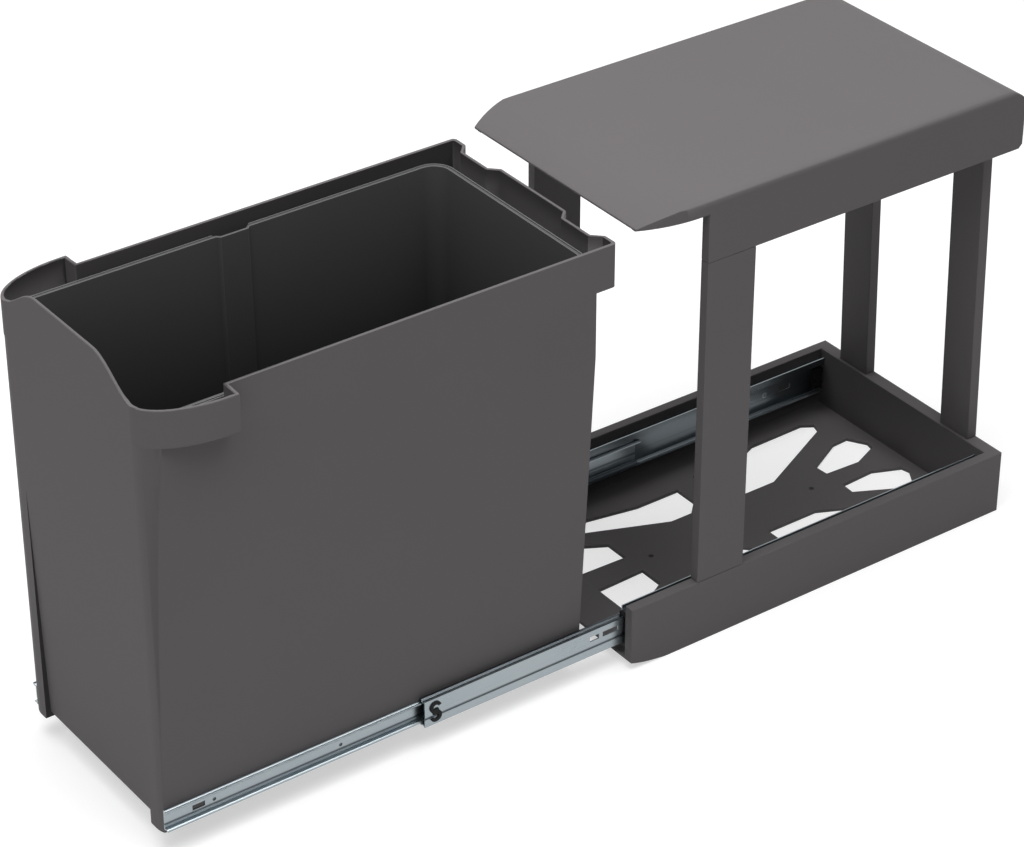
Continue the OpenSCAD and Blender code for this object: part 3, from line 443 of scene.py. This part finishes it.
FINISHES = {
    Slot.ANTHRACITE: MouldedPlastic("anthracite_plastic", (0.109, 0.1025, 0.105), 0.62),
    # The bucket has a strong painted highlight on its rim and other rounded edges, and painted shade towards
    # its bottom.
    Slot.BUCKET: MouldedPlastic(
        "bucket_plastic", (0.075, 0.075, 0.075), 0.5, grain_strength=0.2, painted_edge_highlight=0.9, painted_bottom_shade=0.85,
    ),
    Slot.ZINC: ZincPlate("zinc_plate", (0.37, 0.4, 0.415), (0.27, 0.325, 0.355), 0.3),
    Slot.BLACK: MouldedPlastic("black_plastic", (0.014, 0.014, 0.015), 0.42, grain_strength=0.15),
    Slot.BALL: PolishedSteel("ball_steel", (0.8, 0.81, 0.82), 0.08),
}


class Workshop:
    """Makes finished pieces from CAD nodes and keeps one material for each slot."""

    merge: ClassVar[float] = 0.01 * MM
    sliver: ClassVar[float] = 0.002 * MM
    flat: ClassVar[float] = math.radians(0.05)
    smooth: ClassVar[float] = math.radians(38.0)
    shortest: ClassVar[float] = 0.4 * MM
    room: ClassVar[float] = 2.1
    # Least mark on upright roundings; level roundings get more painted highlight and polish.
    upright_mark: ClassVar[float] = 0.2

    def __init__(self) -> None:
        """Builds every finish once."""
        self.materials = {slot: finish.material() for slot, finish in FINISHES.items()}
        self.body_of = {
            node: body for body, nodes in frame["record"]["behaviour"]["bodies"].items() for node in nodes
        }

    def solid(self, node: str) -> bmesh.types.BMesh:
        """A merged copy of a CAD node's mesh with its flat faces whole.

        Args:
            node: name of the CAD node.

        Returns:
            The copy, to be freed by the caller.
        """
        work = bmesh.new()
        work.from_mesh(frame["nodes"][node].data)
        bmesh.ops.remove_doubles(work, verts=work.verts, dist=self.merge)
        bmesh.ops.dissolve_limit(work, angle_limit=self.flat, verts=work.verts, edges=work.edges)
        return work

    def roomy(self, edge: bmesh.types.BMEdge, radius: float) -> bool:
        """Whether both faces beside an edge are wide enough for a rounding.

        Args:
            edge: the edge that would be rounded.
            radius: radius of the rounding in metres.

        Returns:
            False where another edge of one of the two faces is too near.
        """
        ends = [vertex.co for vertex in edge.verts]
        points = [*ends, (ends[0] + ends[1]) / 2]
        for face in edge.link_faces:
            for other in face.edges:
                if set(other.verts) & set(edge.verts):
                    continue
                a, b = (vertex.co for vertex in other.verts)
                for point in points:
                    near, along = intersect_point_line(point, a, b)
                    foot = a if along < 0 else b if along > 1 else near
                    if (foot - point).length < self.room * radius:
                        return False
        return True

    def round_edges(
        self,
        work: bmesh.types.BMesh,
        radius: float,
        segments: int,
        chosen: Callable[[bmesh.types.BMEdge], bool] | None = None,
    ) -> None:
        """Rounds sharp outer edges and marks the new faces in the attribute named edge, level ones most, for
        the polish and the painted highlight of the edges.

        Args:
            work: the mesh that is changed.
            radius: radius of the rounding in metres.
            segments: number of faces across a rounding.
            chosen: picks the edges; without it every edge is looked at.
        """
        layers = work.faces.layers.float
        mark = layers.get("edge") or layers.new("edge")
        sharp = [
            edge for edge in work.edges
            if edge.is_manifold and edge.is_convex and edge.calc_face_angle(0.0) > self.smooth
            and edge.calc_length() > self.shortest and (chosen is None or chosen(edge))
            and self.roomy(edge, radius)
        ]
        made = bmesh.ops.bevel(
            work, geom=sharp, offset=radius, offset_type="OFFSET", segments=segments, profile=0.5,
            affect="EDGES", clamp_overlap=False,
        )
        work.normal_update()
        # Level roundings are marked most, for a painted highlight where light would catch them.
        for face in made["faces"]:
            face[mark] = max(self.upright_mark, abs(face.normal.z))

    def piece(self, name: str, mesh: bpy.types.Mesh, slot: Slot, node: str) -> None:
        """Hands a finished mesh over to the frame.

        Args:
            name: name of the piece.
            mesh: its mesh, in place.
            slot: its material slot.
            node: the CAD node that it stands for.
        """
        made = bpy.data.objects.new(name, mesh)
        bpy.context.scene.collection.objects.link(made)
        made.data.materials.clear()
        made.data.materials.append(self.materials[slot])
        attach(made, self.body_of[node])
        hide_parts(node)
        LOG.info("%s on %s, %d faces", name, self.body_of[node], len(mesh.polygons))

    def moulding(
        self,
        node: str,
        slot: Slot,
        radius: float,
        segments: int = 3,
        chosen: Callable[[bmesh.types.BMEdge], bool] | None = None,
        inside: Callable[[bmesh.types.BMFace], float] | None = None,
    ) -> None:
        """Puts a copy with rounded edges in the place of a CAD node.

        Args:
            node: name of the CAD node.
            slot: its material slot.
            radius: radius of the rounding in metres.
            segments: number of faces across a rounding.
            chosen: picks the edges; without it every edge is looked at.
            inside: gives each face's share of painted shade, for the face attribute of that name.
        """
        work = self.solid(node)
        # Each face's share of painted shade goes into a face attribute.
        mark = work.faces.layers.float.new("inside")
        for face in work.faces:
            face[mark] = inside(face) if inside else 0.0
        self.round_edges(work, radius, segments, chosen)
        bmesh.ops.dissolve_degenerate(work, dist=self.sliver, edges=work.edges)
        mesh = bpy.data.meshes.new(f"{node}_rounded")
        work.to_mesh(mesh)
        work.free()
        mesh.shade_smooth()
        mesh.set_sharp_from_angle(angle=self.smooth)
        self.piece(f"{node}_rounded", self.weighed(mesh), slot, node)

    def weighed(self, mesh: bpy.types.Mesh) -> bpy.types.Mesh:
        """A mesh with its normals weighed by area, so that flat faces look flat beside roundings.

        Args:
            mesh: the mesh that goes in.

        Returns:
            The result as a plain mesh.
        """
        holder = bpy.data.objects.new("holder", mesh)
        bpy.context.scene.collection.objects.link(holder)
        weigh = holder.modifiers.new("weigh", "WEIGHTED_NORMAL")
        weigh.keep_sharp = True
        seen = holder.evaluated_get(bpy.context.evaluated_depsgraph_get())
        final = bpy.data.meshes.new_from_object(seen)
        bpy.data.objects.remove(holder)
        return final

    def islands(self, node: str) -> list[list[Vector]]:
        """The vertices of each separate solid of a CAD node.

        Args:
            node: name of the CAD node.

        Returns:
            One list of points for each solid.
        """
        work = self.solid(node)
        left = set(work.verts)
        groups = []
        while left:
            queue = [left.pop()]
            group = []
            while queue:
                vertex = queue.pop()
                group.append(vertex.co.copy())
                near = {edge.other_vert(vertex) for edge in vertex.link_edges} & left
                left -= near
                queue.extend(near)
            groups.append(group)
        work.free()
        return groups


@dataclass(frozen=True)
class ScrewPlace:
    """Where one screw sits: middle of its head's face, way of its shank, length over all and head."""

    face: Vector
    aim: Vector
    length: float
    head: Head
    end_depth: ClassVar[float] = 0.05 * MM
    tip_reach: ClassVar[float] = 0.5 * MM
    widest_share: ClassVar[float] = 0.95

    @classmethod
    def from_points(cls, points: Sequence[Vector]) -> "ScrewPlace":
        """Reads a screw's place from the vertices of its solid.

        Args:
            points: the vertices.

        Returns:
            The place of the screw.
        """
        low = Vector([min(p[k] for p in points) for k in range(3)])
        high = Vector([max(p[k] for p in points) for k in range(3)])
        size = high - low
        axis = min(range(3), key=lambda k: abs(size[(k + 1) % 3] - size[(k + 2) % 3]))
        middle = (low + high) / 2

        def reach(end: float) -> float:
            """Largest distance from the axis at one end."""
            rims = [p - middle for p in points if abs(p[axis] - end) < cls.end_depth]
            return max(math.hypot(r[(axis + 1) % 3], r[(axis + 2) % 3]) for r in rims)

        ends = (low[axis], high[axis])
        first = reach(ends[0]) > reach(ends[1])
        face = middle.copy()
        face[axis] = ends[0] if first else ends[1]
        aim = Vector((0.0, 0.0, 0.0))
        aim[axis] = 1.0 if first else -1.0
        wide = max(size[(axis + 1) % 3], size[(axis + 2) % 3]) / 2
        head = Head.COUNTERSUNK if reach(face[axis]) > cls.widest_share * wide else Head.PAN
        return cls(face, aim, size[axis], head)

    def at_tip(self, point: Vector) -> bool:
        """Whether a point lies at the end of the shank."""
        return (point - self.face - self.aim * self.length).length < self.tip_reach


@dataclass
class ScrewSet:
    """One group of screws with cross recesses, made by Geometry Nodes on the places of a CAD node."""

    node: str
    head_radius: float = 3.2 * MM
    pan_height: float = 1.6 * MM
    pan_taper: float = 0.82
    sunk_height: float = 1.5 * MM
    head_sides: int = 32
    shank_radius: float = 1.7 * MM
    shank_sides: int = 24
    shank_slack: float = 0.999
    recess_span: float = 3.3 * MM
    recess_width: float = 0.8 * MM
    recess_depth: float = 0.9 * MM

    def build(self, shop: Workshop) -> None:
        """Makes the screws and puts them in the place of the CAD node."""
        tree = self._tree()
        places = [ScrewPlace.from_points(points) for points in shop.islands(self.node)]
        whole = bmesh.new()
        kinds = sorted({(place.head.value, round(place.length / MM, 2)) for place in places})
        for head, length in kinds:
            alike = [p for p in places if (p.head.value, round(p.length / MM, 2)) == (head, length)]
            values = self._values(Head(head), length * MM, shop.materials[Slot.ZINC])
            mesh = tree.run(self._seats(alike), values)
            whole.from_mesh(mesh)
            bpy.data.meshes.remove(mesh)
        # Painted shade: the tips of the shanks, which stand in holes, are marked dark.
        mark = whole.faces.layers.float.new("inside")
        for face in whole.faces:
            face[mark] = float(any(place.at_tip(face.calc_center_median()) for place in places))
        final = bpy.data.meshes.new(f"{self.node}_turned")
        whole.to_mesh(final)
        whole.free()
        final.shade_smooth()
        final.set_sharp_from_angle(angle=shop.smooth)
        shop.piece(f"{self.node}_turned", final, Slot.ZINC, self.node)

    def _seats(self, places: Sequence[ScrewPlace]) -> bpy.types.Mesh:
        """Loose points with the way of each shank in the attribute named aim."""
        seats = bpy.data.meshes.new("seats")
        seats.from_pydata([place.face for place in places], [], [])
        aim = seats.attributes.new("aim", "FLOAT_VECTOR", "POINT")
        for item, place in zip(aim.data, places):
            item.vector = place.aim
        return seats

    def _values(self, head: Head, length: float, material: bpy.types.Material) -> dict[str, Any]:
        """Values of the tree's inputs for one kind of screw."""
        pan = head is Head.PAN
        return {
            "Face Radius": self.head_radius * (self.pan_taper if pan else 1.0),
            "Neck Radius": self.head_radius if pan else self.shank_radius,
            "Head Height": self.pan_height if pan else self.sunk_height,
            "Shank Radius": self.shank_radius,
            "Length": length,
            "Recess Span": self.recess_span,
            "Recess Width": self.recess_width,
            "Recess Depth": self.recess_depth,
            "Material": material,
        }

    def _tree(self) -> GeometryGraph:
        """Head, shank and cross recess, set on every point along its aim."""
        titles = (
            "Face Radius", "Neck Radius", "Head Height", "Shank Radius", "Length",
            "Recess Span", "Recess Width", "Recess Depth",
        )
        graph = GeometryGraph("cross_recess_screws", {title: "NodeSocketFloat" for title in titles})
        given = graph.given
        head = graph.make("GeometryNodeMeshCone", None, {
            "Vertices": self.head_sides,
            "Radius Bottom": given("Face Radius"),
            "Radius Top": given("Neck Radius"),
            "Depth": given("Head Height"),
        })
        shank = graph.make("GeometryNodeMeshCylinder", None, {
            "Vertices": self.shank_sides,
            "Radius": given("Shank Radius") * self.shank_slack,
            "Depth": given("Length") - 0.5 * given("Head Height"),
        })
        middle = 0.5 * given("Length") + 0.25 * given("Head Height")
        shank = graph.shift(shank, graph.vector(z=middle))
        join = {"operation": "UNION", "solver": "EXACT"}
        solid = graph.make("GeometryNodeMeshBoolean", join, {"Mesh 2": [head, shank]})
        span, width, depth = given("Recess Span"), given("Recess Width"), 2.0 * given("Recess Depth")
        bars = [
            graph.make("GeometryNodeMeshCube", None, {"Size": graph.vector(span, width, depth)}),
            graph.make("GeometryNodeMeshCube", None, {"Size": graph.vector(width, span, depth)}),
        ]
        cut = {"operation": "DIFFERENCE", "solver": "EXACT"}
        screw = graph.make("GeometryNodeMeshBoolean", cut, {"Mesh 1": solid, "Mesh 2": bars})
        aim = graph.make("GeometryNodeInputNamedAttribute", {"data_type": "FLOAT_VECTOR"}, {"Name": "aim"})
        turn = graph.make("FunctionNodeAlignRotationToVector", {"axis": "Z"}, {"Vector": aim})
        sockets = {"Points": given("Geometry"), "Instance": screw, "Rotation": turn}
        graph.end(graph.make("GeometryNodeInstanceOnPoints", None, sockets))
        return graph


@dataclass
class BallRows:
    """Two rows of bearing balls, made by Geometry Nodes in the box of a CAD node."""

    node: str
    radius: float
    count: int
    segments: int = 20
    rings: int = 12

    def build(self, shop: Workshop) -> None:
        """Makes the balls and puts them in the place of the CAD node."""
        low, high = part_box(self.node)
        reach = Vector((0.0, self.radius, self.radius))
        first = low + reach
        first.x = (low.x + high.x) / 2
        last = high - reach
        values = {
            "First": tuple(first),
            "Pitch": (last.y - first.y) / (self.count - 1),
            "Row Gap": last.z - first.z,
            "Count": self.count,
            "Radius": self.radius,
            "Material": shop.materials[Slot.BALL],
        }
        mesh = self._tree().run(bpy.data.meshes.new("start"), values)
        mesh.shade_smooth()
        shop.piece(f"{self.node}_polished", mesh, Slot.BALL, self.node)

    def _tree(self) -> GeometryGraph:
        """Two lines of points, one above the other, with a ball on each point."""
        graph = GeometryGraph("ball_rows", {
            "First": "NodeSocketVector",
            "Pitch": "NodeSocketFloat",
            "Row Gap": "NodeSocketFloat",
            "Count": "NodeSocketInt",
            "Radius": "NodeSocketFloat",
        })
        given = graph.given
        sockets = {
            "Count": given("Count"),
            "Start Location": given("First"),
            "Offset": graph.vector(y=given("Pitch")),
        }
        row = graph.make("GeometryNodeMeshLine", {"mode": "OFFSET"}, sockets)
        upper = graph.shift(row, graph.vector(z=given("Row Gap")))
        rows = graph.make("GeometryNodeJoinGeometry", None, {"Geometry": [row, upper]})
        sphere = {"Segments": self.segments, "Rings": self.rings, "Radius": given("Radius")}
        ball = graph.make("GeometryNodeMeshUVSphere", None, sphere)
        graph.end(graph.make("GeometryNodeInstanceOnPoints", None, {"Points": rows, "Instance": ball}))
        return graph


@dataclass
class CabinetFrame:
    """Base, posts and lid, which stay in the cabinet, and their screws."""

    base_radius: float = 0.9 * MM
    post_radius: float = 0.8 * MM
    lid_radius: float = 0.7 * MM

    def build(self, shop: Workshop) -> None:
        """Rounds and dresses the base, the posts and the lid."""
        shop.moulding("base_frame", Slot.ANTHRACITE, self.base_radius, chosen=self._off_the_ground)
        for post in ("front_left_post", "front_right_post", "rear_left_post", "rear_right_post"):
            shop.moulding(post, Slot.ANTHRACITE, self.post_radius)
        shop.moulding("lid", Slot.ANTHRACITE, self.lid_radius)
        ScrewSet("post_screws").build(shop)
        ScrewSet("cabinet_rail_screws").build(shop)

    def _off_the_ground(self, edge: bmesh.types.BMEdge) -> bool:
        """Whether an edge lies above the foot of the base, where its ribs end."""
        return max(vertex.co.z for vertex in edge.verts) > self.base_radius


@dataclass
class Slide:
    """One telescopic slide: three rails, two cages with balls, and the plastic stops."""

    side: Side
    rail_radius: float = 0.25 * MM
    stop_radius: float = 0.4 * MM
    cage_radius: float = 0.05 * MM
    outer_ball: float = 1.8 * MM
    outer_count: int = 8
    inner_ball: float = 1.6 * MM
    inner_count: int = 7
    steep: float = 0.5
    # Share of painted shade on faces of the cabinet rail that look across the base.
    painted_web_shade: float = 0.75

    def build(self, shop: Workshop) -> None:
        """Rounds and dresses the rails, stops and cages, and makes the balls."""
        name = self.side.value
        shop.moulding(f"{name}_cabinet_rail", Slot.ZINC, self.rail_radius, 2, inside=self._looks_in)
        shop.moulding(f"{name}_mid_rail", Slot.ZINC, self.rail_radius, 2, inside=self._looks_up)
        shop.moulding(f"{name}_drawer_rail", Slot.ZINC, self.rail_radius, 2)
        for stop in ("rear_stop", "front_stop", "mouth_guide"):
            shop.moulding(f"{name}_{stop}", Slot.BLACK, self.stop_radius, 2)
        for row in ("outer", "inner"):
            shop.moulding(f"{name}_{row}_cage", Slot.ZINC, self.cage_radius, 1)
        BallRows(f"{name}_outer_balls", self.outer_ball, self.outer_count).build(shop)
        BallRows(f"{name}_inner_balls", self.inner_ball, self.inner_count).build(shop)

    def _looks_up(self, face: bmesh.types.BMFace) -> float:
        """One where a face of a rail looks up, for the painted shade of the bin above it."""
        return float(face.normal.z > self.steep)

    def _looks_in(self, face: bmesh.types.BMFace) -> float:
        """Part of the painted shade where a face of a rail looks across the base."""
        return self.painted_web_shade * float(abs(face.normal.x) > self.steep)


@dataclass
class BinUnit:
    """The bin that rolls out, its screws and the bucket that stands in it."""

    bin_radius: float = 1.2 * MM
    middle: Vector = field(default_factory=Vector)
    top: float = 0.0
    collar_depth: float = 70.0 * MM
    steep: float = 0.7
    # Where the bin gets painted shade: level faces this far below the top, upright faces beyond these reaches
    # from the middle, and less on faces that look to the rear.
    rim_depth: float = 36.0 * MM
    wall_reach: float = 40.0 * MM
    end_reach: float = 150.0 * MM
    front_lift: float = 0.7
    front_turn: int = 4
    bucket_radius: float = 0.5 * MM

    def build(self, shop: Workshop) -> None:
        """Rounds and dresses the bin and the bucket."""
        low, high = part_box("bin")
        self.middle = (low + high) / 2
        self.top = high.z
        shop.moulding(
            "bin", Slot.ANTHRACITE, self.bin_radius, chosen=self._not_upright, inside=self._inside,
        )
        shop.moulding("inner_bucket", Slot.BUCKET, self.bucket_radius)
        ScrewSet("drawer_rail_screws").build(shop)

    def _not_upright(self, edge: bmesh.types.BMEdge) -> bool:
        """Whether an edge is not one of the upright ones below the collars, in the round corners."""
        a, b = (vertex.co for vertex in edge.verts)
        below = self.top - min(a.z, b.z) > self.collar_depth
        return not below or abs(a.z - b.z) < self.steep * edge.calc_length()

    def _inside(self, face: bmesh.types.BMFace) -> float:
        """Share of painted shade where a face of the bin looks towards the middle of its hollow."""
        centre = face.calc_center_median()
        normal = face.normal
        if abs(normal.z) > self.steep:
            return float(normal.z > 0 and self.top - centre.z > self.rim_depth)
        way = self.middle - centre
        way.z = 0.0
        reach = self.wall_reach * abs(normal.x) + self.end_reach * abs(normal.y)
        share = 1.0 - self.front_lift * max(0.0, normal.y) ** self.front_turn
        return share * float(normal.dot(way) > reach)


@dataclass(frozen=True)
class Softbox:
    """A square area lamp: its place, its side in metres and its power in watts."""

    name: str
    place: Triple
    size: float
    power: float

    def build(self, target: Triple) -> None:
        """Hangs the lamp up, pointing at a target."""
        lamp = bpy.data.lights.new(self.name, "AREA")
        lamp.size = self.size
        lamp.energy = self.power
        holder = bpy.data.objects.new(self.name, lamp)
        holder.location = self.place
        holder.rotation_euler = (Vector(target) - Vector(self.place)).to_track_quat("-Z", "Y").to_euler()
        bpy.context.scene.collection.objects.link(holder)


@dataclass
class Studio:
    """Floor, soft light and a camera at the angle of the photograph."""

    azimuth: float = math.radians(54.025)
    elevation: float = math.radians(32.158)
    eye: Triple = (2.0477, -1.7440, 1.7991)
    lens: float = 119.98
    sensor: float = 36.0
    floor_size: float = 12.0
    floor_drop: float = 0.2 * MM
    floor_colour: Triple = (0.86, 0.86, 0.86)
    floor_seen: Triple = (0.5, 0.5, 0.5)
    floor_lift: float = 0.57
    lit_reach: float = 1.2
    floor_reach: float = 3.2
    sky_light: float = 0.04
    lamps: tuple[Softbox, ...] = (
        Softbox("overhead_softbox", (0.2, -0.4, 2.8), 3.0, 136.0),
        Softbox("front_softbox", (0.9, -2.6, 2.2), 1.6, 14.0),
    )
    target: Triple = (0.0, -0.24, 0.2)

    def build(self) -> None:
        """Sets up the floor, the sky, the lamps and the camera."""
        bpy.context.scene.view_settings.view_transform = "Standard"
        self._floor()
        self._sky()
        for lamp in self.lamps:
            lamp.build(self.target)
        self._camera()

    def _seen_directly(self, graph: Graph) -> Signal:
        """One for rays that show the background itself, in view, in gloss or through clear parts."""
        kinds = ("Camera", "Glossy", "Transmission")
        rays = [graph.make("ShaderNodeLightPath", output=f"Is {kind} Ray") for kind in kinds]
        return (rays[0] + rays[1] + rays[2]).at_most(1.0)

    def _floor(self) -> None:
        """A pale floor that keeps the shadow of the object and stays white out of the lamps' reach."""
        shade = Shade("pale_floor")
        seen = self._seen_directly(shade)
        colour = shade.mix(seen, self.floor_colour, self.floor_seen)
        diffuse = shade.make("ShaderNodeBsdfDiffuse", None, {"Color": colour})
        away = shade.make("ShaderNodeVectorMath", {"operation": "LENGTH"}, {0: shade.place()}, "Value")
        far = ((away - self.lit_reach) / (self.floor_reach - self.lit_reach)).as_share()
        lift = self.floor_lift + far * (1.0 - self.floor_lift)
        glow = shade.make("ShaderNodeEmission", None, {"Color": seen * lift})
        both = shade.make("ShaderNodeAddShader", None, {0: diffuse, 1: glow})
        shade.make("ShaderNodeOutputMaterial", None, {"Surface": both})
        mesh = bpy.data.meshes.new("floor")
        half = self.floor_size / 2
        corners = [(-half, -half), (half, -half), (half, half), (-half, half)]
        mesh.from_pydata([(x, y, -self.floor_drop) for x, y in corners], [], [(0, 1, 2, 3)])
        mesh.materials.append(shade.material)
        floor = bpy.data.objects.new("floor", mesh)
        bpy.context.scene.collection.objects.link(floor)

    def _sky(self) -> None:
        """White where it is seen, softer where it lights the object."""
        world = bpy.data.worlds.new("studio")
        world.use_nodes = True
        bpy.context.scene.world = world
        graph = Graph(world.node_tree)
        strength = self.sky_light + self._seen_directly(graph) * (1.0 - self.sky_light)
        back = graph.make("ShaderNodeBackground", None, {"Color": (1.0, 1.0, 1.0, 1.0), "Strength": strength})
        graph.make("ShaderNodeOutputWorld", None, {"Surface": back})

    def _camera(self) -> None:
        """The camera that was fitted to the photograph."""
        data = bpy.data.cameras.new("camera")
        data.lens = self.lens
        data.sensor_width = self.sensor
        data.sensor_fit = "HORIZONTAL"
        camera = bpy.data.objects.new("camera", data)
        a, e = self.azimuth, self.elevation
        back = Vector((math.sin(a) * math.cos(e), -math.cos(a) * math.cos(e), math.sin(e)))
        camera.location = self.eye
        camera.rotation_euler = (-back).to_track_quat("-Z", "Y").to_euler()
        bpy.context.scene.collection.objects.link(camera)
        bpy.context.scene.camera = camera


def main() -> None:
    """Builds the object piece by piece, then the studio."""
    logging.basicConfig(level=logging.INFO)
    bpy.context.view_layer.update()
    shop = Workshop()
    CabinetFrame().build(shop)
    for side in Side:
        Slide(side).build(shop)
    BinUnit().build(shop)
    Studio().build()


if __name__ == "__main__":
    main()
